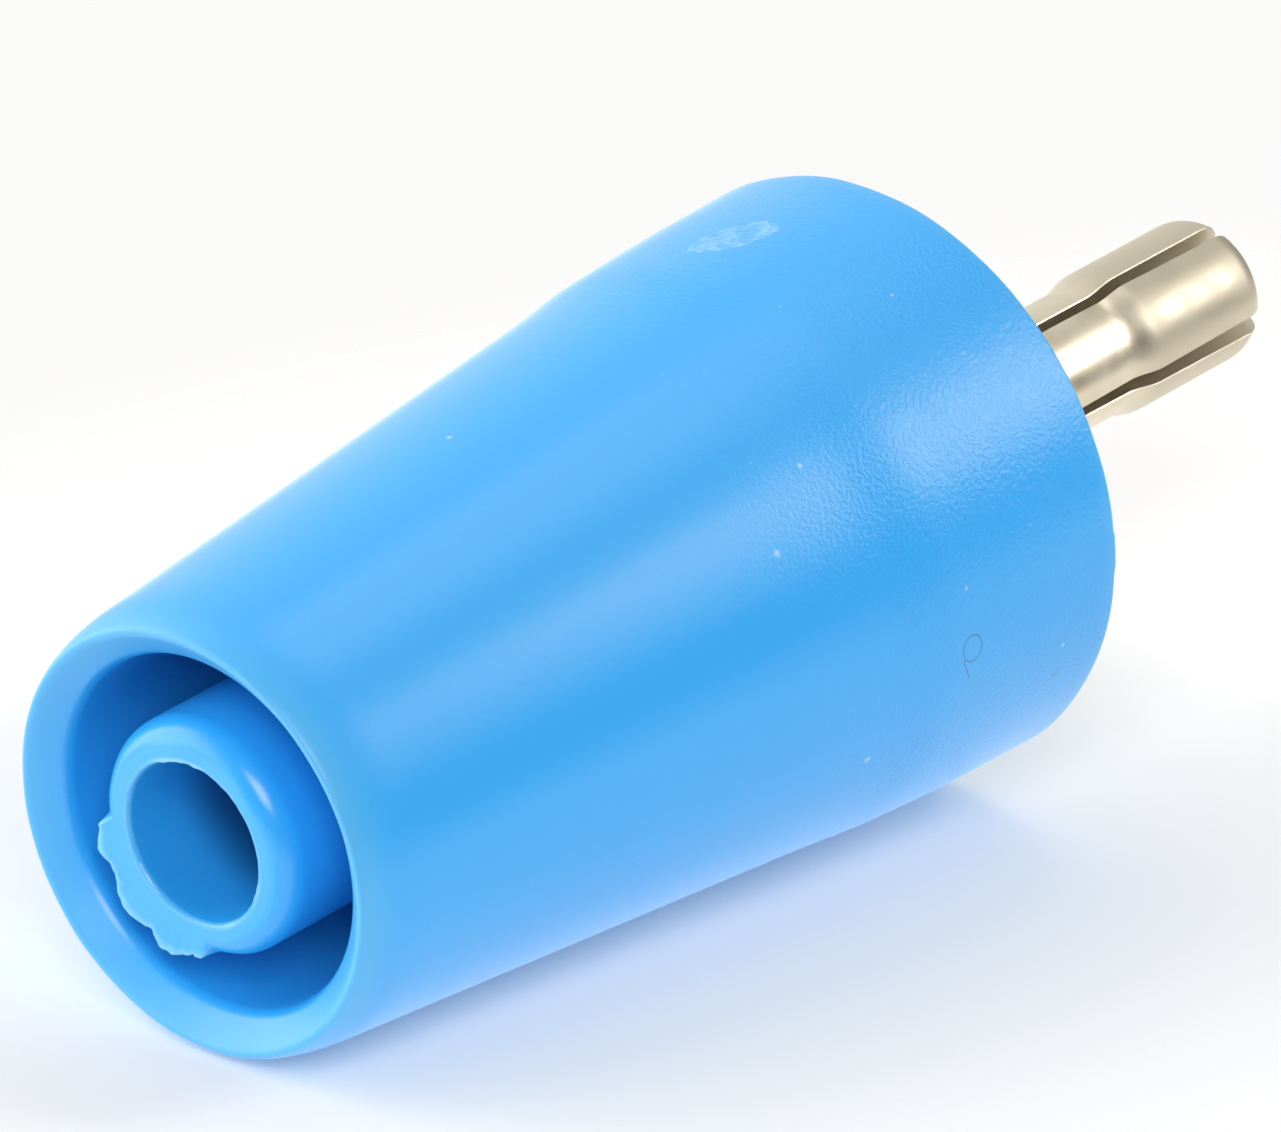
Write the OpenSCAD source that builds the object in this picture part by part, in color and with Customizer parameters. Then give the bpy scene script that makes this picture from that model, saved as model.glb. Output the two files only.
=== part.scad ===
// Safety banana adapter: a shrouded 4 mm safety socket at the narrow end of a
// tapered insulating body, and a bare 4 mm spring pin at its wide end.
// It stands on the socket rim, with its axis upright and the pin on top, so
// every height is a distance from the rim.

/* [Insulating body] */
// Length of the moulding from the socket rim to the wide end face
body_len = 28.04; // [27:0.02:32]
// Diameter of the taper, run out to the plane of the rim
rim_od = 12.7; // [12.3:0.02:13.4]
// Diameter of the wide end
wide_od = 17.36; // [17.3:0.02:19]
// Distance from the rim to the knee, where the taper meets the straighter band
knee_at = 23.8; // [20:0.1:25]
// Diameter at the knee
knee_od = 17.16; // [16:0.02:17.2]
// Radius of the edge round the wide end face
wide_edge_r = 0.25; // [0.1:0.05:0.6]

/* [Socket rim] */
// How far down the outside the rounded lip reaches
lip_out_depth = 1.76; // [0.6:0.02:2.5]
// How far in from the outside the lip's crest lies
lip_out_width = 0.36; // [0.2:0.02:0.6]
// Depth of the chamfer that widens the mouth inside the lip
lip_in_depth = 0.78; // [0.2:0.02:1.5]
// Inside diameter of the shroud
shroud_id = 10.14; // [9.9:0.02:10.4]
// Depth of the ring-shaped groove from the rim
groove_depth = 20.2; // [18:0.1:20.7]

/* [Inner sleeve] */
// Outside diameter of the sleeve
sleeve_od = 6.8; // [6.5:0.05:7]
// How far the sleeve's front is set back from the rim
sleeve_back = 0.08; // [0:0.02:1]
// Diameter of the sleeve's bore in front of the contact
sleeve_bore = 4.6; // [4.2:0.05:4.8]
// Lead-in at the mouth of the sleeve's bore
sleeve_lead = 0.25; // [0.1:0.05:0.4]
// Rounding of the sleeve's outer front edge
sleeve_edge = 0.4; // [0.05:0.05:0.5]

/* [Socket bush] */
// Bore of the contact
bush_bore = 4.0; // [4:0.01:4.1]
// Outside diameter of the contact's barrel
bush_od = 5.2; // [5:0.05:5.4]
// Distance from the rim to the front of the contact
bush_front = 5.1; // [4.8:0.1:7]
// Distance from the rim to the bottom of the contact's bore
bore_end = 19.3; // [18.7:0.1:19.5]
// Lead-in at the contact's mouth
bush_lead = 0.3; // [0.1:0.05:0.4]
// Diameter of the thicker root that the moulding grips
root_d = 6.6; // [6:0.1:7]
// Distance from the rim to the front of the root
root_front = 20.9; // [20.8:0.1:21.7]
// Distance from the rim to the back of the root
root_back = 24.4; // [23.9:0.1:24.7]
// Depth of the gripping groove round the root
grip_depth = 0.4; // [0.2:0.05:0.6]

/* [Plug pin] */
// Diameter of the neck
neck_d = 3.9; // [3.7:0.02:3.96]
// Diameter of the contact zone, leaves at rest
head_d = 4.3; // [4.1:0.02:4.5]
// Length of the neck outside the wide end face
neck_len = 9.2; // [7:0.1:10]
// Length of the cone between the neck and the contact zone
cone_len = 0.6; // [0.4:0.1:2]
// Length of the contact zone
head_len = 4.2; // [3:0.1:6]
// Length of the rounded tip
tip_len = 0.8; // [0.5:0.1:2]
// Diameter of the flat at the very tip
tip_d = 3.1; // [2.4:0.1:3.3]
// Width of each slot at its root
slot_w = 0.4; // [0.3:0.05:0.6]
// Width of each slot at the tip, where the leaves stand apart
slot_tip_w = 0.8; // [0.6:0.05:1]
// Distance from the wide end face to the root of the slots
slot_start = 3.4; // [2:0.1:6]
// Diameter of the hole down the middle of the leaves
core_d = 1.8; // [1:0.1:2]
// Turn of the slots about the axis
slot_turn = 14; // [0:1:89]
// Diameter of the stem that is pressed into the bush
stem_d = 2.5; // [2:0.1:3]
// Thickness of the collar buried in the moulding
collar_len = 1.5; // [1:0.1:1.6]

/* [Hidden] */
$fn = 96;
arc_n = 7;

rim_r = rim_od / 2;
wide_r = wide_od / 2;
knee_r = knee_od / 2;
shroud_r = shroud_id / 2;
sleeve_r = sleeve_od / 2;
// Half-angle of the taper
half_angle = atan((knee_r - rim_r) / knee_at);
crest_r = rim_r - lip_out_width;
stem_front = root_back - 4;
collar_back = root_back + collar_len;
pin_end = body_len + neck_len + cone_len + head_len + tip_len;
head_start = body_len + neck_len + cone_len;
head_end = head_start + head_len;

// Mouth: a straight chamfer from the shroud's inside up to the lip's crest
function lip_inner() = [
    [shroud_r, lip_in_depth],
    [crest_r, 0]];
// Lip: a quarter of an ellipse from the crest to the taper
function lip_outer() = [for (i = [1 : arc_n])
    let (a = 90 * i / arc_n, s = lip_out_depth * (1 - cos(a)))
    [crest_r + lip_out_width * sin(a) + s * tan(half_angle), s]];
function sleeve_front() = [for (i = [0 : 4])
    let (a = 90 * i / 4)
    [sleeve_r - sleeve_edge * (1 - sin(a)),
     sleeve_back + sleeve_edge * (1 - cos(a))]];
function wide_edge() = [for (i = [0 : 4])
    let (a = 90 * i / 4)
    [wide_r - wide_edge_r * (1 - cos(a)),
     body_len - wide_edge_r * (1 - sin(a))]];

grip_a = root_front + (root_back - root_front) * 0.35;
grip_b = root_front + (root_back - root_front) * 0.62;

module body_section() {
    polygon(concat(
        lip_inner(),
        lip_outer(),
        [[knee_r, knee_at]],
        wide_edge(),
        [[neck_d / 2, body_len],
         [neck_d / 2, collar_back],
         [root_d / 2, collar_back],
         [root_d / 2, grip_b],
         [root_d / 2 - grip_depth, grip_b],
         [root_d / 2 - grip_depth, grip_a],
         [root_d / 2, grip_a],
         [root_d / 2, root_front],
         [bush_od / 2, root_front],
         [bush_od / 2, bush_front],
         [sleeve_bore / 2, bush_front],
         [sleeve_bore / 2, sleeve_back + sleeve_lead],
         [sleeve_bore / 2 + sleeve_lead, sleeve_back]],
        sleeve_front(),
        [[sleeve_r, groove_depth],
         [shroud_r, groove_depth]]
    ));
}

module insulating_body() {
    color([0.25, 0.65, 0.93])
        rotate_extrude()
            body_section();
}

module bush_section() {
    polygon([
        [bush_bore / 2 + bush_lead, bush_front],
        [bush_od / 2, bush_front],
        [bush_od / 2, root_front],
        [root_d / 2, root_front],
        [root_d / 2, grip_a],
        [root_d / 2 - grip_depth, grip_a],
        [root_d / 2 - grip_depth, grip_b],
        [root_d / 2, grip_b],
        [root_d / 2, root_back],
        [stem_d / 2, root_back],
        [stem_d / 2, stem_front],
        [0, stem_front],
        [0, bore_end],
        [bush_bore / 2, bore_end],
        [bush_bore / 2, bush_front + bush_lead]
    ]);
}

module socket_bush() {
    color([0.80, 0.77, 0.70])
        rotate_extrude()
            bush_section();
}

// Tip: a quarter of an ellipse from the contact zone to the flat
function tip_arc() = [for (i = [0 : 8])
    let (a = 90 * i / 8)
    [tip_d / 2 + (head_d - tip_d) / 2 * cos(a),
     head_end + tip_len * sin(a)]];

module pin_section() {
    polygon(concat(
        [[0, stem_front],
         [stem_d / 2, stem_front],
         [stem_d / 2, root_back],
         [root_d / 2, root_back],
         [root_d / 2, collar_back],
         [neck_d / 2, collar_back],
         [neck_d / 2, body_len + neck_len],
         [head_d / 2, head_start]],
        tip_arc(),
        [[0, pin_end]]
    ));
}

module pin_slots() {
    slot_base = body_len + slot_start;
    // How much a slot widens over each millimetre
    spread = (slot_tip_w - slot_w) / (pin_end - slot_base);
    half_end = (slot_tip_w + spread) / 2;
    // Two crossing cuts part the leaves
    for (a = [0, 90])
        rotate([0, 0, a])
            translate([-head_d, 0, 0])
                rotate([90, 0, 90])
                    linear_extrude(2 * head_d)
                        polygon([
                            [-slot_w / 2, slot_base],
                            [slot_w / 2, slot_base],
                            [half_end, pin_end + 1],
                            [-half_end, pin_end + 1]
                        ]);
    // Hole down the middle, so that the leaves are thin enough to flex
    translate([0, 0, slot_base])
        cylinder(h = pin_end - slot_base + 1, d = core_d);
}

module plug_pin() {
    color([0.82, 0.78, 0.70])
        rotate([0, 0, slot_turn])
            difference() {
                rotate_extrude() pin_section();
                pin_slots();
            }
}

insulating_body();
socket_bush();
plug_pin();
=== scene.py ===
import math

import bmesh
import bpy
import numpy as np
from mathutils import Matrix, Vector


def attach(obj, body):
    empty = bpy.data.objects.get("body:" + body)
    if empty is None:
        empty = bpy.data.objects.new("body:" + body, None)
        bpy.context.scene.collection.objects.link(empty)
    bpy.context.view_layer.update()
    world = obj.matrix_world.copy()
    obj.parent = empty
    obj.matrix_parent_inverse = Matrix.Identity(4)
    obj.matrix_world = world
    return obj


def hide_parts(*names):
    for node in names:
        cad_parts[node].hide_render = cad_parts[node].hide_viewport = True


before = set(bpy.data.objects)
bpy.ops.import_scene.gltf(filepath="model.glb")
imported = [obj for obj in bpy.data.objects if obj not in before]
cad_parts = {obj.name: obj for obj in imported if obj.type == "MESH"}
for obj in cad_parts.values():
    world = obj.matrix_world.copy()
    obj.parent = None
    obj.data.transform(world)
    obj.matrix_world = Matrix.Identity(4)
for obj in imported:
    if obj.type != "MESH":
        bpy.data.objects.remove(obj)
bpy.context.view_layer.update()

MM = 0.001
scene = bpy.context.scene
scene.view_settings.view_transform = "Standard"
scene.view_settings.look = "None"
scene.view_settings.exposure = 0.0
scene.view_settings.gamma = 1.0

# ---------------------------------------------------------------------------
# The adapter stands on its socket rim. Every height z below is in millimetres
# from the rim, and theta is the angle about the axis from +X towards +Y.
# ---------------------------------------------------------------------------
RIM_R, KNEE_R, KNEE_Z, WIDE_R, BODY_L = 6.35, 8.58, 23.8, 8.68, 28.04
CREST_R, LIP_OUT, LIP_IN, SHROUD_R, GROOVE_Z = 5.99, 1.76, 0.78, 5.07, 20.2
SLEEVE_R, SLEEVE_Z, BORE_R = 3.4, 0.08, 2.3
NECK_R, HEAD_R, TIP_R = 1.95, 2.15, 1.55
SLOT_Z, SLOT_W, SLOT_TIP_W, CORE_R, SLOT_TURN = 31.44, 0.4, 0.8, 0.9, 14.0
NECK_END, HEAD_Z, HEAD_END, PIN_END = 37.24, 37.84, 42.04, 42.84
CONE_Z0, CONE_Z1 = 36.94, 38.14
ALPHA = math.atan(0.09378)

# The photographed pose: the adapter lies on its taper. LYING takes a point of
# the standing adapter to that pose, and TO_STAND brings the camera, the lights
# and the sheet that it lies on to the standing adapter.
LYING = Matrix.Translation((0, -21.264 * MM, 6.3204 * MM)) @ Matrix.Rotation(
    -(math.pi / 2 - ALPHA), 4, "X"
)
TO_STAND = LYING.inverted()


def smooth(x, a, b):
    t = np.clip((x - a) / (b - a), 0, 1)
    return t * t * (3 - 2 * t)


def lump(theta, centre, width):
    """A soft bump of height 1 about an angle, in degrees."""
    d = (theta - centre + 180) % 360 - 180
    return np.exp(-((d / width) ** 2))


def wobble(theta, seed, terms, low, high):
    """A smooth periodic noise of about -1 to 1 round the axis."""
    rng = np.random.default_rng(seed)
    k = rng.integers(low, high, terms)
    ph = rng.uniform(0, 2 * np.pi, terms)
    a = rng.uniform(0.5, 1, terms)
    t = np.radians(theta)[..., None]
    return (a * np.sin(k * t + ph)).sum(-1) / np.sqrt((a**2).sum())


def rounded(corners, step=0.4):
    """A closed or open outline from (r, z, radius, points) corners, with long
    straight runs cut into steps. A fifth number is the step after that corner."""
    pts, steps = [], []
    n = len(corners)
    for i, corner in enumerate(corners):
        r, z, rad, k = corner[:4]
        steps += [corner[4] if len(corner) > 4 else step] * (k + 1 if rad > 0 else 1)
        p = np.array([r, z], float)
        if rad <= 0:
            pts.append(p)
            continue
        a = np.array(corners[i - 1][:2], float) - p
        b = np.array(corners[(i + 1) % n][:2], float) - p
        a /= np.linalg.norm(a)
        b /= np.linalg.norm(b)
        half = math.acos(np.clip(a @ b, -1, 1)) / 2
        back = rad / math.tan(half)
        centre = p + (a + b) / np.linalg.norm(a + b) * rad / math.sin(half)
        p0, p1 = p + a * back - centre, p + b * back - centre
        sweep = math.acos(np.clip(p0 @ p1 / rad**2, -1, 1))
        turn = np.sign(p0[0] * p1[1] - p0[1] * p1[0])
        for j in range(k + 1):
            w = turn * sweep * j / k
            c, s = math.cos(w), math.sin(w)
            pts.append(centre + [c * p0[0] - s * p0[1], s * p0[0] + c * p0[1]])
    out = []
    for i, p in enumerate(pts):
        q = pts[(i + 1) % len(pts)]
        out.append(p)
        cut = int(np.linalg.norm(q - p) / steps[i])
        for j in range(1, cut + 1):
            out.append(p + (q - p) * j / (cut + 1))
    return np.array(out)


def make_mesh(name, verts, faces, weld=0.0, pale=None):
    mesh = bpy.data.meshes.new(name)
    mesh.from_pydata([tuple(v) for v in verts], [], [tuple(f) for f in faces])
    if pale is not None:
        layer = mesh.attributes.new("pale", "FLOAT", "POINT")
        layer.data.foreach_set("value", np.asarray(pale, dtype=np.float32).ravel())
    if weld:
        bm = bmesh.new()
        bm.from_mesh(mesh)
        bmesh.ops.remove_doubles(bm, verts=bm.verts, dist=weld)
        bmesh.ops.dissolve_degenerate(bm, edges=bm.edges, dist=weld)
        bm.to_mesh(mesh)
        bm.free()
    mesh.validate()
    mesh.polygons.foreach_set("use_smooth", [True] * len(mesh.polygons))
    mesh.update()
    obj = bpy.data.objects.new(name, mesh)
    scene.collection.objects.link(obj)
    return obj


def lathe(name, outline, turns, warp=None, pale=None):
    """Turns a closed outline of (r, z) points about the axis. warp moves the
    points and pale gives each of them its share of pale colour: paler thin
    plastic, and a painted sheen where light catches an edge."""
    theta = np.arange(turns) * 360.0 / turns
    r = np.repeat(outline[:, 0][:, None], turns, 1)
    z = np.repeat(outline[:, 1][:, None], turns, 1)
    t = np.repeat(theta[None], len(outline), 0)
    if warp is not None:
        r, z = warp(r, z, t)
    x = r * np.cos(np.radians(t)) * MM
    y = r * np.sin(np.radians(t)) * MM
    verts = np.stack([x, y, z * MM], -1).reshape(-1, 3)
    n = len(outline)
    i = np.arange(n)[:, None]
    j = np.arange(turns)[None]
    i1, j1 = (i + 1) % n, (j + 1) % turns
    faces = np.stack(
        [i * turns + j, i * turns + j1, i1 * turns + j1, i1 * turns + j], -1
    ).reshape(-1, 4)
    return make_mesh(name, verts, faces, pale=None if pale is None else pale(r, z, t))


# ---------------------------------------------------------------------------
# Insulating body
# ---------------------------------------------------------------------------
MOUTH_N, EDGE_N = 9, 16


def body_outline():
    """The moulding's outline, and where its mouth and sleeve edge points start."""
    # a soft bend leads from the shroud's wall into the chamfer
    bend = rounded([(SHROUD_R, 2.4, 0, 0), (SHROUD_R, LIP_IN, 0.6, 8), (CREST_R, 0, 0, 0)], 9.0)
    lip = [tuple(p) for p in bend[1:-1]]
    lip.append((SHROUD_R + (CREST_R - SHROUD_R) * 0.66, LIP_IN * 0.34))
    # the crest rounds over from the chamfer to the flank
    w = RIM_R - CREST_R
    flank = []
    for i in range(4, 17):
        a = math.radians(90 * i / 16)
        s = LIP_OUT * (1 - math.cos(a))
        flank.append((CREST_R + w * math.sin(a) + s * math.tan(ALPHA), s))
    p0, p2 = np.array([SHROUD_R + (CREST_R - SHROUD_R) * 0.8, LIP_IN * 0.2]), np.array(flank[0])
    p1 = np.array([6.037, -0.040])
    for t in np.linspace(0, 1, 9)[:-1]:
        lip.append(tuple((1 - t) ** 2 * p0 + 2 * t * (1 - t) * p1 + t * t * p2))
    lip += flank
    lip = [(r, z - 0.036 * math.exp(-((z / 0.5) ** 2))) for r, z in lip]
    outside = rounded(
        [
            (lip[-1][0], lip[-1][1], 0, 0),
            (KNEE_R, KNEE_Z, 45.0, 14),
            (WIDE_R, BODY_L, 0.16, 6),
            (8.0, BODY_L, 0, 0, 1.5),
            (2.5, BODY_L, 0, 0),
            (NECK_R, BODY_L, 0.05, 2, 3.0),
            (NECK_R, 25.9, 0, 0, 3.0),
            (3.3, 25.9, 0, 0, 3.0),
            (3.3, 20.9, 0, 0, 3.0),
            (2.6, 20.9, 0, 0, 3.0),
            (2.6, 5.1, 0, 0, 3.0),
            (BORE_R, 5.1, 0.05, 2),
            (BORE_R, SLEEVE_Z + 0.6, 0, 0),
        ],
        0.45,
    )
    # rounded() closes the loop, so its last straight run goes
    last = max(i for i, p in enumerate(outside) if abs(p[0] - BORE_R) < 1e-6 and abs(p[1] - SLEEVE_Z - 0.6) < 1e-6)
    outside = outside[1 : last + 1]
    mouth = []
    for i in range(MOUTH_N):
        a = math.radians(90 * i / (MOUTH_N - 1))
        mouth.append((BORE_R + 0.15 * (1 - math.cos(a)), SLEEVE_Z + 0.22 * (1 - math.sin(a))))
    front = [(2.5, SLEEVE_Z), (2.6, SLEEVE_Z + 0.005)]
    edge = []
    for i in range(EDGE_N):
        a = math.radians(90 * i / (EDGE_N - 1))
        edge.append((2.68 + 0.72 * math.sin(a), SLEEVE_Z + 0.01 + 0.84 * (1 - math.cos(a))))
    groove = rounded(
        [(SLEEVE_R, 1.0, 0, 0), (SLEEVE_R, GROOVE_Z, 0.3, 3), (SHROUD_R, GROOVE_Z, 0.3, 3), (SHROUD_R, 1.6, 0, 0)],
        2.5,
    )
    last = max(i for i, p in enumerate(groove) if abs(p[0] - SHROUD_R) < 1e-6 and abs(p[1] - 1.6) < 1e-6)
    groove = groove[: last + 1]
    parts = [np.array(lip), outside, np.array(mouth), np.array(front), np.array(edge), groove]
    starts = np.cumsum([0] + [len(p) for p in parts])
    return np.concatenate(parts), starts[2], starts[4]


OUTLINE, MOUTH_AT, EDGE_AT = body_outline()

# Flash round part of the sleeve's front edge: how far it reaches at each angle
FLASH_T = [84, 90, 94.5, 96, 97.5, 102, 108, 114, 117, 120, 126, 132, 138, 144, 150, 156, 162, 165, 168, 174, 180]
FLASH_R = [
    3.38, 3.42, 3.48, 3.41, 3.50, 3.62, 3.82, 3.87, 3.74, 3.54, 3.70, 3.87, 3.91, 3.68, 3.48, 3.54, 3.78, 3.70, 3.58,
    3.46, 3.40,
]
# The fin's own outline, from the front face outwards and back to the sleeve
FIN_K = np.array([0, 0.10, 0.30, 0.55, 0.80, 0.95, 1.0, 0.97, 0.85, 0.6, 0.35, 0.15, 0.05, 0.0, 0.0, 0.0])
FIN_R = np.array([2.95, 3.02, 3.12, 3.22, 3.31, 3.38, 3.40, 3.41, 3.41, 3.41, 3.41, 3.40, 3.40, 3.40, 3.40, 3.40])
FIN_Z = np.array([0.0, 0.0, 0.0, 0.0, 0.01, 0.03, 0.07, 0.12, 0.16, 0.19, 0.22, 0.26, 0.31, 0.37, 0.45, 0.55])


def flash_mask(t):
    t = (t + 180) % 360 - 180
    return smooth(t, 84, 91) * (1 - smooth(t, 173, 180))


def burr_mask(t):
    """Burr that hangs over the top of the bore's mouth."""
    return (
        lump(t, -110, 7) + 0.8 * lump(t, -97, 8) + 0.5 * lump(t, -82, 5) + 0.35 * lump(t, 20, 9) + 0.3 * lump(t, 62, 6)
    )


def body_warp(r, z, t):
    r, z = r.copy(), z.copy()
    th = t[0]
    t0 = (th + 180) % 360 - 180
    # sleeve's front edge
    rows = slice(EDGE_AT, EDGE_AT + EDGE_N)
    mask = flash_mask(th)[None]
    reach = np.interp(t0, FLASH_T, FLASH_R) + 0.012 * wobble(th, 5, 9, 20, 90)
    fin_r = FIN_R[:, None] + FIN_K[:, None] * (reach - 3.4)[None]
    fin_z = SLEEVE_Z + FIN_Z[:, None] + 0.02 * FIN_K[:, None] * wobble(th, 8, 8, 10, 60)[None]
    wav = 0.012 * wobble(th, 2, 6, 3, 14)[None] * np.linspace(0, 1, EDGE_N)[:, None] * (1 - np.linspace(0, 1, EDGE_N)[:, None])
    r[rows] = r[rows] * (1 - mask) + fin_r * mask + wav * 4
    z[rows] = z[rows] * (1 - mask) + fin_z * mask
    # burr round the bore's mouth
    rows = slice(MOUTH_AT + 1, MOUTH_AT + MOUTH_N)
    k = np.linspace(0.15, 1, MOUTH_N - 1) ** 1.2
    k[-1] *= 0.7
    r[rows] -= (0.115 * burr_mask(th) + 0.012 * wobble(th, 11, 8, 12, 50))[None] * k[:, None]
    z[rows] += (0.05 * burr_mask(th))[None] * (1 - k)[:, None]
    # the front face is not quite flat
    face = slice(MOUTH_AT + MOUTH_N - 2, EDGE_AT + 3)
    z[face] += 0.015 * (1 + wobble(th, 21, 5, 2, 9))[None]
    # the wall swells a little just before the knee and bends in more sharply there
    run = np.linspace(15.0, 26.0, 221)
    rise = np.exp(-(((run - 20.2) / 0.95) ** 2))
    fall = smooth(run, 20.9, 21.6) * np.clip(1 - (run - 21.6) / 3.2, 0, 1)
    slope = fall - rise * fall.sum() / rise.sum()
    swell = -np.concatenate([[0], np.cumsum((slope[1:] + slope[:-1]) / 2 * 0.05)])
    r += np.interp(z, run, swell, 0, 0) * (r > 5.6) * ((0.040 + 0.020 * lump(th, -32, 32)) * (1 - lump(th, 90, 35)))[None]
    # the lip undulates a little and the wide edge has a tiny step
    lipped = np.exp(-((z / 0.5) ** 2)) * (r > 5)
    z += lipped * 0.008 * (wobble(th, 31, 7, 3, 22) + 1.2)[None]
    wide = np.exp(-(((z - BODY_L) / 0.6) ** 2)) * (r > 8)
    r += wide * (0.035 * smooth(t0, -2.5, -1.5) * (1 - smooth(t0, 4.8, 5.6)) + 0.012 * wobble(th, 41, 6, 4, 18))[None]
    return r, np.maximum(z, 0.0)


# Share of pale colour at each point: paler thin plastic at the flash and the burr, and painted sheen on the lip and
# the wide edge
def body_pale_and_sheen(r, z, t):
    out = np.zeros_like(r)
    th = t[0]
    rows = slice(EDGE_AT, EDGE_AT + EDGE_N)
    out[rows] = flash_mask(th)[None] * (0.1 + 0.9 * smooth(FIN_K, 0.6, 1.0))[:, None]
    rows = slice(MOUTH_AT + 2, MOUTH_AT + MOUTH_N)
    out[rows] = np.clip(0.30 + burr_mask(th), 0, 1)[None]
    rows = slice(MOUTH_AT + MOUTH_N, EDGE_AT + 2)
    out[rows] = 0.10
    # painted sheen, with paler thin plastic: a pale band round the lip
    out += np.exp(-((z / 0.8) ** 2)) * (r > 5.2) * 0.28
    # painted highlight, with paler thin plastic: a pale line round the wide edge
    out += np.exp(-(((z - BODY_L) / 0.12) ** 2)) * (r > 8) * 0.8
    return np.clip(out, 0, 1)


# ---------------------------------------------------------------------------
# Plug pin: a solid neck, then four leaves parted by two crossing slots
# ---------------------------------------------------------------------------
def pin_radius(z):
    if z <= HEAD_END:
        return NECK_R + (HEAD_R - NECK_R) * float(smooth(z, CONE_Z0, CONE_Z1))
    t = min((z - HEAD_END) / (PIN_END - HEAD_END), 1.0)
    return TIP_R + (HEAD_R - TIP_R) * math.sqrt(max(1 - t * t, 0))


def side_gap(z, quarter, side):
    """How far a leaf's side stands from the middle of its slot. The leaves
    have sprung apart unevenly, as the photo shows."""
    u = (z - SLOT_Z) / (PIN_END - SLOT_Z)
    even = (SLOT_W + (SLOT_TIP_W - SLOT_W) * u) / 2
    bent = {
        (2, 1): 0.07,
        (3, 0): 0.24 + 0.12 * float(smooth(u, 0.3, 0.95)),
        (3, 1): 0.12 + 0.20 * u,
        (0, 0): 0.10 + 0.20 * u,
    }.get((quarter, side), even)
    k = float(smooth(z, SLOT_Z, SLOT_Z + 1.4))
    return even * (1 - k) + bent * k


def leaf_loop(z, quarter, bevel, inset=0.0, n_arc=14, n_side=4, n_core=6):
    """One leaf's section: outer arc, side, core arc, side."""
    big = pin_radius(z) - inset
    h0, h1 = side_gap(z, quarter, 0) + inset, side_gap(z, quarter, 1) + inset
    core = CORE_R + inset
    a0, a1 = math.asin(h0 / big), math.asin(h1 / big)
    c0, c1 = (math.asin(min(h / core, 0.7)) for h in (h0, h1))
    if h0 / core > 0.7:
        c0 = math.asin(min(h0 / core, 0.98))
    cut = bevel / big
    pts = []
    for i in range(n_arc + 1):
        a = a0 + cut + (math.pi / 2 - a0 - a1 - 2 * cut) * i / n_arc
        pts.append((big * math.cos(a), big * math.sin(a)))
    top, low = big * math.cos(a1) - bevel, core * math.cos(c1)
    for i in range(n_side + 1):
        pts.append((h1, top + (low - top) * i / n_side))
    for i in range(1, n_core):
        a = math.pi / 2 - c1 - (math.pi / 2 - c0 - c1) * i / n_core
        pts.append((core * math.cos(a), core * math.sin(a)))
    top, low = big * math.cos(a0) - bevel, core * math.cos(c0)
    for i in range(n_side, -1, -1):
        pts.append((top + (low - top) * i / n_side, h0))
    w = math.radians(SLOT_TURN + 90 * quarter)
    c, s = math.cos(w), math.sin(w)
    return [((c * x - s * y) * MM, (s * x + c * y) * MM, z * MM) for x, y in pts]


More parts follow.
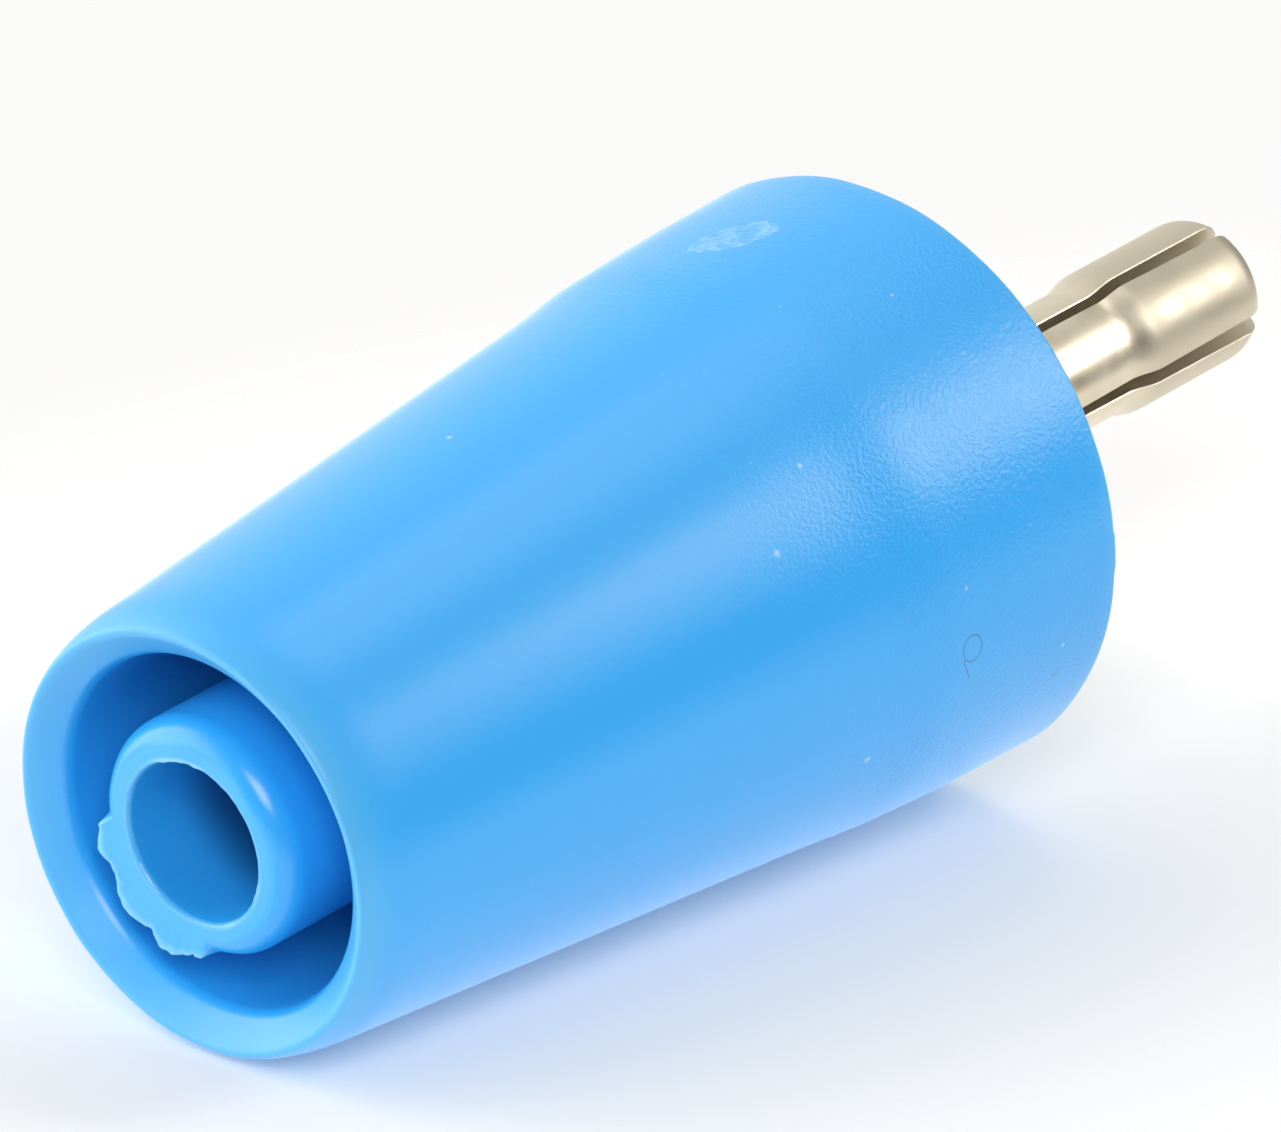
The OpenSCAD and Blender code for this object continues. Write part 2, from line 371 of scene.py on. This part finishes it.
def make_pin():
    verts, faces = [], []
    n_arc, n_gap = 14, 6
    # Neck and the parts buried in the moulding, as rings
    a0 = math.degrees(math.asin(SLOT_W / 2 / NECK_R))
    ring = []
    for q in range(4):
        for i in range(n_arc):
            ring.append(SLOT_TURN + 90 * q + a0 + (90 - 2 * a0) * i / n_arc)
        for i in range(n_gap):
            ring.append(SLOT_TURN + 90 * q + 90 - a0 + 2 * a0 * i / n_gap)
    count = len(ring)
    rows = [
        (1.25, 20.4), (1.25, 24.4), (3.3, 24.4), (3.3, 25.9), (1.95, 25.9),
        (NECK_R, 27.0), (NECK_R, 28.0), (NECK_R, 28.7), (NECK_R, 30.0), (NECK_R, 31.1), (NECK_R, SLOT_Z),
    ]
    for r, z in rows:
        for a in ring:
            verts.append((r * math.cos(math.radians(a)) * MM, r * math.sin(math.radians(a)) * MM, z * MM))
    for j in range(len(rows) - 1):
        for i in range(count):
            k = (i + 1) % count
            faces.append((j * count + i, j * count + k, (j + 1) * count + k, (j + 1) * count + i))
    faces.append(tuple(range(count))[::-1])
    # Leaves
    zs = [SLOT_Z, SLOT_Z + 0.05, SLOT_Z + 0.15, SLOT_Z + 0.4, SLOT_Z + 0.8, SLOT_Z + 1.2, SLOT_Z + 1.6]
    zs += list(np.linspace(33.6, CONE_Z0 - 0.05, 8))
    zs += list(np.linspace(CONE_Z0, CONE_Z1, 13)) + list(np.linspace(38.5, HEAD_END, 7))
    zs += [HEAD_END + (PIN_END - HEAD_END) * math.sin(math.radians(90 * i / 12)) for i in range(1, 12)]
    floor = []
    for q in range(4):
        loops = [(z, min(0.03, max(z - SLOT_Z, 0) * 0.6), 0.0) for z in zs]
        loops += [(PIN_END - 0.002, 0.03, 0.01), (PIN_END, 0.03, 0.06)]
        first = len(verts)
        for z, b, inset in loops:
            verts += leaf_loop(z, q, b, inset, n_arc)
        size = (len(verts) - first) // len(loops)
        for j in range(len(loops) - 1):
            for i in range(size):
                k = (i + 1) % size
                a = first + j * size
                faces.append((a + i, a + k, a + size + k, a + size + i))
        faces.append(tuple(first + (len(loops) - 1) * size + i for i in range(size)))
        # the flat bottom of the slots follows each leaf's inner edge and the gap's arc
        inner = [first + i for i in range(n_arc + 1, size)]
        gap = [(len(rows) - 1) * count + (q * (n_arc + n_gap) + n_arc + i) % count for i in range(n_gap + 1)]
        floor.append((inner, gap))
    loop = []
    for q in range(4):
        inner, gap = floor[q]
        loop += inner[::-1] + gap
    faces.append(tuple(loop))
    obj = make_mesh("pin", verts, faces, weld=1e-8)
    # Sharp where faces meet at an angle, smooth along the turned surface
    bm = bmesh.new()
    bm.from_mesh(obj.data)
    for e in bm.edges:
        if len(e.link_faces) == 2 and e.calc_face_angle(0) > math.radians(35):
            e.smooth = False
    bm.to_mesh(obj.data)
    bm.free()
    return obj


# ---------------------------------------------------------------------------
# Socket bush
# ---------------------------------------------------------------------------
def bush_outline():
    return rounded(
        [
            (2.0, 5.1, 0.25, 4),
            (2.6, 5.1, 0, 0),
            (2.6, 20.9, 0, 0),
            (3.3, 20.9, 0, 0),
            (3.3, 24.4, 0, 0),
            (1.25, 24.4, 0, 0),
            (1.25, 20.4, 0, 0),
            (0.02, 20.4, 0, 0),
            (0.02, 19.3, 0, 0),
            (2.0, 19.3, 0.1, 2),
        ],
        0.6,
    )


# ---------------------------------------------------------------------------
# Materials
# ---------------------------------------------------------------------------
class Graph:
    """Short names for the shader maths."""

    def __init__(self, tree):
        self.t = tree

    def node(self, kind, **props):
        n = self.t.nodes.new(kind)
        for k, v in props.items():
            setattr(n, k, v)
        return n

    def put(self, socket, value):
        if isinstance(value, bpy.types.NodeSocket):
            self.t.links.new(value, socket)
        else:
            socket.default_value = value

    def m(self, op, a, b=0.0, c=0.0, clamp=False):
        n = self.node("ShaderNodeMath", operation=op, use_clamp=clamp)
        for s, v in zip(n.inputs, (a, b, c)):
            self.put(s, v)
        return n.outputs[0]

    def ramp(self, x, a, b, lo=0.0, hi=1.0):
        n = self.node("ShaderNodeMapRange", interpolation_type="SMOOTHSTEP")
        for name, v in (("Value", x), ("From Min", a), ("From Max", b), ("To Min", lo), ("To Max", hi)):
            self.put(n.inputs[name], v)
        return n.outputs[0]

    def mix(self, f, a, b):
        n = self.node("ShaderNodeMix", data_type="RGBA")
        self.put(n.inputs[0], f)
        self.put(n.inputs[6], a)
        self.put(n.inputs[7], b)
        return n.outputs[2]

    def noise(self, vec, scale, detail=2.0, rough=0.5, distort=0.0):
        n = self.node("ShaderNodeTexNoise")
        self.put(n.inputs["Vector"], vec)
        for k, v in (("Scale", scale), ("Detail", detail), ("Roughness", rough), ("Distortion", distort)):
            n.inputs[k].default_value = v
        return n.outputs["Fac"]

    def vec(self, x, y, z):
        n = self.node("ShaderNodeCombineXYZ")
        for s, v in zip(n.inputs, (x, y, z)):
            self.put(s, v)
        return n.outputs[0]

    def place(self):
        """Object position in millimetres: vector, x, y, z, radius, theta in degrees."""
        tc = self.node("ShaderNodeTexCoord")
        n = self.node("ShaderNodeVectorMath", operation="SCALE")
        self.t.links.new(tc.outputs["Object"], n.inputs[0])
        n.inputs["Scale"].default_value = 1000.0
        s = self.node("ShaderNodeSeparateXYZ")
        self.t.links.new(n.outputs[0], s.inputs[0])
        x, y, z = s.outputs
        r = self.m("SQRT", self.m("ADD", self.m("MULTIPLY", x, x), self.m("MULTIPLY", y, y)))
        th = self.m("MULTIPLY", self.m("ARCTAN2", y, x), 57.29578)
        return n.outputs[0], x, y, z, r, th

    def bump(self, height, distance, strength=1.0, normal=None):
        n = self.node("ShaderNodeBump")
        n.inputs["Distance"].default_value = distance
        n.inputs["Strength"].default_value = strength
        self.put(n.inputs["Height"], height)
        if normal is not None:
            self.put(n.inputs["Normal"], normal)
        return n.outputs[0]


def new_material(name):
    mat = bpy.data.materials.new(name + "_look")
    mat.use_nodes = True
    nt = mat.node_tree
    bsdf = next(n for n in nt.nodes if n.type == "BSDF_PRINCIPLED")
    return mat, Graph(nt), bsdf


HAIR_TH, HAIR_Z, HAIR_A, HAIR_B = 6.0, 22.1, 0.42, 0.36
HAIR_C, HAIR_S = math.cos(math.radians(20)), math.sin(math.radians(20))


def blue_plastic():
    mat, g, b = new_material("blue_plastic")
    p, x, y, z, r, th = g.place()
    outside = g.m("MAXIMUM", g.ramp(r, 5.4, 5.9), g.ramp(z, 27.4, 27.9))

    # leathery grain, strongest on the wide end
    grain = g.noise(p, 7.5, 2.0, 0.55, 0.25)
    where = g.m("MULTIPLY", g.ramp(z, 14.0, 22.0, 0.10, 1.0), g.m("ADD", 0.45, g.m("MULTIPLY", outside, 0.55)))
    height = g.m("MULTIPLY", g.m("ADD", g.ramp(grain, 0.38, 0.62), g.m("MULTIPLY", grain, 0.8)), where)
    normal = g.bump(height, 0.0000046, 1.0)

    # scuff near the knee, on top as it lies: a pale lens of short scratches
    du = g.m("MULTIPLY", g.m("ADD", th, 94.6), 0.1484)
    dz = g.m("SUBTRACT", z, 23.64)
    along = g.m("ADD", g.m("MULTIPLY", du, 0.45), g.m("MULTIPLY", dz, 0.893))
    across = g.m("SUBTRACT", g.m("MULTIPLY", dz, 0.45), g.m("MULTIPLY", du, 0.893))
    warp = g.m("SUBTRACT", g.noise(p, 2.4, 2.0, 0.6), 0.5)
    ea = g.m("DIVIDE", along, 1.30)
    ec = g.m("DIVIDE", g.m("ADD", across, g.m("MULTIPLY", warp, 0.8)), 0.62)
    e = g.m("ADD", g.m("MULTIPLY", ea, ea), g.m("MULTIPLY", ec, ec))
    e = g.m("ADD", e, g.m("MULTIPLY", warp, 1.4))
    streak = g.noise(g.vec(g.m("MULTIPLY", along, 2.2), g.m("MULTIPLY", across, 7.0), 0.0), 1.5, 2.0, 0.65)
    patchy = g.ramp(g.noise(p, 1.7, 1.0, 0.5), 0.36, 0.62, 0.25, 1.0)
    scuff_fac = g.m("MULTIPLY", g.m("MULTIPLY", g.ramp(e, 1.05, 0.70), patchy), g.ramp(streak, 0.38, 0.66, 0.10, 0.90))
    edge = g.m("MULTIPLY", g.ramp(e, 1.2, 0.95), g.ramp(e, 0.6, 0.85))
    scuff_fac = g.m("MAXIMUM", scuff_fac, g.m("MULTIPLY", edge, g.ramp(streak, 0.40, 0.6, 0.0, 0.9)))

    # specks
    def spot(z0, t0, size, r0):
        a = g.m("MULTIPLY", g.m("SUBTRACT", th, t0), r0 * 0.01745)
        c = g.m("SUBTRACT", z, z0)
        d = g.m("SQRT", g.m("ADD", g.m("MULTIPLY", a, a), g.m("MULTIPLY", c, c)))
        d = g.m("ADD", d, g.m("MULTIPLY", g.m("SUBTRACT", grain, 0.5), size * 1.6))
        return g.ramp(d, size, size * 0.3)

    light = None
    for z0, t0, size, r0 in (
        (11.3, -91.7, 0.12, 7.4), (16.2, -29.7, 0.13, 7.8), (18.3, -42.4, 0.09, 8.0), (18.6, 22.4, 0.13, 8.0),
        (22.0, -6.5, 0.08, 8.4), (26.0, 16.1, 0.10, 8.6), (24.6, -62.0, 0.07, 8.6), (21.6, -72.0, 0.06, 8.3),
    ):
        s = spot(z0, t0, size, r0)
        light = s if light is None else g.m("MAXIMUM", light, s)
    light = g.m("MULTIPLY", light, g.m("MULTIPLY", outside, 0.42))
    # fine dust: sparse pale points
    v = g.node("ShaderNodeTexVoronoi", feature="F1")
    g.put(v.inputs["Vector"], p)
    v.inputs["Scale"].default_value = 1.3
    keep = g.node("ShaderNodeSeparateColor")
    g.put(keep.inputs[0], v.outputs["Color"])
    dust = g.m("MULTIPLY", g.ramp(v.outputs["Distance"], 0.06, 0.02), g.m("GREATER_THAN", keep.outputs[0], 0.86))
    dust = g.m("MULTIPLY", dust, g.m("MULTIPLY", outside, g.ramp(z, 8.0, 22.0, 0.12, 0.35)))
    light = g.m("MAXIMUM", light, dust)
    dark = g.m("MULTIPLY", spot(26.0, 23.2, 0.13, 8.6), 0.45)

    # a dark hair-thin loop on the side, with a short tail
    hu = g.m("MULTIPLY", g.m("SUBTRACT", th, HAIR_TH), 0.1475)
    hz = g.m("SUBTRACT", z, HAIR_Z)
    lu = g.m("DIVIDE", g.m("ADD", g.m("MULTIPLY", hu, HAIR_C), g.m("MULTIPLY", hz, HAIR_S)), HAIR_A)
    lz = g.m("DIVIDE", g.m("SUBTRACT", g.m("MULTIPLY", hz, HAIR_C), g.m("MULTIPLY", hu, HAIR_S)), HAIR_B)
    ring = g.m("SQRT", g.m("ADD", g.m("MULTIPLY", lu, lu), g.m("MULTIPLY", lz, lz)))
    ring = g.ramp(g.m("ABSOLUTE", g.m("SUBTRACT", ring, 1.0)), 0.085, 0.03)
    tu = g.m("SUBTRACT", hu, 0.62)
    tz = g.m("ADD", hz, 0.18)
    tail = g.ramp(g.m("ABSOLUTE", g.m("SUBTRACT", tz, g.m("MULTIPLY", tu, 0.45))), 0.030, 0.010)
    tail = g.m("MULTIPLY", tail, g.ramp(g.m("ABSOLUTE", tu), 0.36, 0.30))
    hair = g.m("MULTIPLY", g.m("MAXIMUM", ring, tail), g.m("MULTIPLY", outside, 0.7))

    # pale colour from the mesh: paler thin plastic at the flash and the burr, and a painted sheen round the lip and
    # along the wide edge
    pale = g.node("ShaderNodeAttribute", attribute_name="pale").outputs["Fac"]

    col = g.mix(g.m("MULTIPLY", pale, 0.8, clamp=True), (0.030, 0.388, 0.87, 1), (0.25, 0.63, 0.80, 1))
    col = g.mix(g.m("MULTIPLY", scuff_fac, 0.62), col, (0.50, 0.76, 0.90, 1))
    # painted shade: inside the bore, from about 2 mm in from its mouth, the wall is darkened towards navy all round
    painted_bore_shade = g.m("MULTIPLY", g.ramp(r, 2.7, 2.45), g.m("MULTIPLY", g.ramp(z, 1.9, 3.9, 0.0, 0.75), g.ramp(z, 9.0, 7.0)))
    col = g.mix(painted_bore_shade, col, (0.010, 0.10, 0.30, 1))
    col = g.mix(light, col, (0.62, 0.82, 0.92, 1))
    col = g.mix(g.m("MAXIMUM", dark, hair), col, (0.03, 0.10, 0.22, 1))
    g.put(b.inputs["Base Color"], col)
    g.put(b.inputs["Roughness"], g.m("ADD", g.m("ADD", g.m("ADD", 0.26, g.m("MULTIPLY", outside, 0.04)), g.m("MULTIPLY", g.ramp(r, 5.0, 5.4), g.ramp(z, 2.4, 0.4, 0.0, 0.10))), g.m("MULTIPLY", scuff_fac, 0.2)))
    b.inputs["IOR"].default_value = 1.54
    b.inputs["Specular Tint"].default_value = (1.0, 0.86, 0.72, 1)
    g.put(b.inputs["Normal"], normal)
    return mat


def nickel():
    mat, g, b = new_material("nickel_plate")
    p, x, y, z, r, th = g.place()
    # turning marks run round the pin, drawing marks run along it
    rings = g.noise(g.vec(0.0, 0.0, g.m("MULTIPLY", z, 9.0)), 1.0, 3.0, 0.6)
    lines = g.noise(g.vec(g.m("MULTIPLY", x, 5.0), g.m("MULTIPLY", y, 5.0), g.m("MULTIPLY", z, 0.5)), 1.0, 3.0, 0.6)
    cloud = g.noise(p, 0.9, 3.0, 0.55)
    height = g.m("ADD", g.m("MULTIPLY", rings, 0.5), g.m("MULTIPLY", lines, 0.5))
    g.put(b.inputs["Normal"], g.bump(height, 0.000004, 1.0))
    # the contact zone is a little duller from use
    worn = g.ramp(z, 37.3, 38.3)
    plate = g.mix(g.ramp(cloud, 0.3, 0.7), (0.60, 0.535, 0.405, 1), (0.70, 0.63, 0.485, 1))
    g.put(b.inputs["Base Color"], g.mix(g.m("MULTIPLY", worn, 0.75), plate, (0.53, 0.475, 0.365, 1)))
    g.put(b.inputs["Roughness"], g.m("ADD", g.ramp(cloud, 0.3, 0.7, 0.32, 0.42), g.m("MULTIPLY", worn, 0.10)))
    b.inputs["Metallic"].default_value = 1.0
    return mat


blue, metal = blue_plastic(), nickel()
body = lathe("body_moulding", OUTLINE, 480, body_warp, body_pale_and_sheen)
pin = make_pin()
bush = lathe("bush", bush_outline(), 96)
for obj, node, mat, slot in (
    (body, "insulating_body", blue, "blue_plastic"),
    (pin, "plug_pin", metal, "nickel_plate"),
    (bush, "socket_bush", metal, "nickel_plate"),
):
    obj.data.materials.append(mat)
    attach(obj, "root")
    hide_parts(node)

# ---------------------------------------------------------------------------
# Camera, at the photograph's viewing angle
# ---------------------------------------------------------------------------
cam_data = bpy.data.cameras.new("camera")
cam_data.sensor_fit = "HORIZONTAL"
cam_data.sensor_width = 36
cam_data.lens = 13000 * 36 / 1281
cam_data.clip_start, cam_data.clip_end = 0.01, 20
cam = bpy.data.objects.new("camera", cam_data)
scene.collection.objects.link(cam)
right = Vector((0.752, 0.6592, 0.0))
down = Vector((0.2399, -0.2736, -0.9314))
ahead = Vector((-0.614, 0.7004, -0.3639))
pose = Matrix((right, -down, -ahead)).transposed().to_4x4()
pose.translation = Vector((0.21748, -0.25132, 0.13781))
cam.matrix_world = TO_STAND @ pose
scene.camera = cam

# ---------------------------------------------------------------------------
# Light. The directions are those of the photographed pose: azimuth from +Y
# towards +X and elevation above the sheet that the adapter lies on.
# ---------------------------------------------------------------------------
def direction(az, el):
    a, e = math.radians(az), math.radians(el)
    return Vector((math.sin(a) * math.cos(e), math.cos(a) * math.cos(e), math.sin(e)))


def softbox(name, az, el, wide, high, radiance, far=0.5, roll=0.0):
    """A soft rectangular light of the given half-angles, in degrees."""
    w = 2 * far * math.tan(math.radians(wide))
    h = 2 * far * math.tan(math.radians(high))
    data = bpy.data.lights.new(name, "AREA")
    data.shape = "ELLIPSE" if name.endswith("round") else "RECTANGLE"
    data.size, data.size_y = w, h
    area = w * h * (math.pi / 4 if data.shape == "ELLIPSE" else 1)
    data.energy = radiance * math.pi * area
    data.spread = math.pi
    obj = bpy.data.objects.new(name, data)
    scene.collection.objects.link(obj)
    d = direction(az, el)
    m = d.to_track_quat("Z", "Y").to_matrix().to_4x4() @ Matrix.Rotation(math.radians(roll), 4, "Z")
    m.translation = Vector((0, -0.004, 0.008)) + d * far
    obj.matrix_world = TO_STAND @ m
    obj.visible_camera = False
    return obj


for args in (
    ("softbox_top", 0, 67, 14, 8, 2.5),
    ("softbox_side", 45, 29, 9, 13, 8.0, 0.4),
    ("softbox_front", 141, 31, 12, 12, 9.0),
):
    softbox(*args)

# The room: soft lobes of (azimuth, elevation, radiance, inner and outer half-angle)
ROOM = [
    (235, 15, 2.8, 8, 52),
    (-62, 25, 0.9, 15, 60),
    (34, 53, 0.8, 3, 17),
]
world = bpy.data.worlds.new("world")
scene.world = world
world.use_nodes = True
g = Graph(world.node_tree)
tc = g.node("ShaderNodeTexCoord")


def towards(d, inner, outer):
    """1 inside a cone about a direction, falling to 0 at the outer half-angle."""
    n = g.node("ShaderNodeVectorMath", operation="DOT_PRODUCT")
    g.t.links.new(tc.outputs["Generated"], n.inputs[0])
    n.inputs[1].default_value = TO_STAND.to_3x3() @ d
    return g.ramp(n.outputs["Value"], math.cos(math.radians(outer)), math.cos(math.radians(inner)))


level = 0.16
for az, el, radiance, inner, outer in ROOM:
    level = g.m("ADD", level, g.m("MULTIPLY", towards(direction(az, el), inner, outer), radiance))
# the bright sheet goes on beyond the part of it that is built
low = g.node("ShaderNodeVectorMath", operation="DOT_PRODUCT")
g.t.links.new(tc.outputs["Generated"], low.inputs[0])
low.inputs[1].default_value = TO_STAND.to_3x3() @ Vector((0, 0, -1))
low = g.m("MULTIPLY", g.ramp(low.outputs["Value"], 0.07, 0.30), towards(direction(-5, -20), 55, 88))
level = g.m("ADD", level, g.m("MULTIPLY", low, 2.1))
lp = g.node("ShaderNodeLightPath")
level = g.m("ADD", g.m("MULTIPLY", lp.outputs["Is Camera Ray"], g.m("SUBTRACT", 0.955, level)), level)
background = world.node_tree.nodes["Background"]
background.inputs["Color"].default_value = (1.0, 0.998, 0.985, 1)
g.put(background.inputs["Strength"], level)


# ---------------------------------------------------------------------------
# Stage: the sheet of the photographed pose and a floor for the standing one.
# Both are seen from their upper side only.
# ---------------------------------------------------------------------------
def stage_material(name, colour, inner, outer, stretch, glow=0.0, onto=0.0):
    mat = bpy.data.materials.new(name)
    mat.use_nodes = True
    nt = mat.node_tree
    nt.nodes.clear()
    g = Graph(nt)
    tc = g.node("ShaderNodeTexCoord")
    s = g.node("ShaderNodeSeparateXYZ")
    nt.links.new(tc.outputs["Object"], s.inputs[0])
    x, y, z = s.outputs
    y = g.m("DIVIDE", y, stretch)
    d = g.m("SQRT", g.m("ADD", g.m("MULTIPLY", x, x), g.m("MULTIPLY", y, y)))
    solid = g.ramp(d, outer, inner)
    back = g.node("ShaderNodeNewGeometry").outputs["Backfacing"]
    solid = g.m("MULTIPLY", solid, g.m("SUBTRACT", 1.0, back))
    diff = g.node("ShaderNodeBsdfDiffuse")
    diff.inputs["Color"].default_value = colour
    clear = g.node("ShaderNodeBsdfTransparent")
    add = g.node("ShaderNodeAddShader")
    emit = g.node("ShaderNodeEmission")
    emit.inputs["Color"].default_value = (0.88, 0.94, 1.0, 1)
    # mirrored in the adapter, the sheet is brighter than the picture's white shows
    mirrored = g.node("ShaderNodeLightPath").outputs["Is Glossy Ray"]
    mirrored = g.m("MULTIPLY", mirrored, g.ramp(y, 0.006, 0.013, onto, 0.2 * onto))
    g.put(emit.inputs["Strength"], g.m("ADD", glow, mirrored))
    nt.links.new(diff.outputs[0], add.inputs[0])
    nt.links.new(emit.outputs[0], add.inputs[1])
    mix = g.node("ShaderNodeMixShader")
    out = g.node("ShaderNodeOutputMaterial")
    g.put(mix.inputs[0], solid)
    nt.links.new(clear.outputs[0], mix.inputs[1])
    nt.links.new(add.outputs[0], mix.inputs[2])
    nt.links.new(mix.outputs[0], out.inputs[0])
    return mat


def stage_disc(name, radius, stretch, material):
    turns, rings = 64, 6
    verts = [(0, 0, 0)]
    for j in range(1, rings + 1):
        for i in range(turns):
            a = 2 * math.pi * i / turns
            verts.append((radius * j / rings * math.cos(a), stretch * radius * j / rings * math.sin(a), 0))
    faces = [(0, 1 + i, 1 + (i + 1) % turns) for i in range(turns)]
    for j in range(rings - 1):
        for i in range(turns):
            a, k = 1 + j * turns, (i + 1) % turns
            faces.append((a + i, a + turns + i, a + turns + k, a + k))
    obj = make_mesh(name, verts, faces)
    obj.data.materials.append(material)
    return obj


sheet = stage_disc("sheet", 0.048, 1.5, stage_material("sheet_look", (0.79, 0.765, 0.74, 1), 0.026, 0.047, 1.5, 0.17, 0.50))
sheet.matrix_world = TO_STAND @ Matrix.Translation((0.002, -0.003, -0.00002))
sheet.visible_shadow = False
floor = stage_disc("floor", 0.6, 1.0, stage_material("floor_look", (0.55, 0.55, 0.55, 1), 0.20, 0.58, 1.0, 0.42))
floor.location = (0, 0, -0.00002)
for flag in ("visible_shadow", "visible_diffuse", "visible_glossy", "visible_transmission"):
    setattr(floor, flag, False)
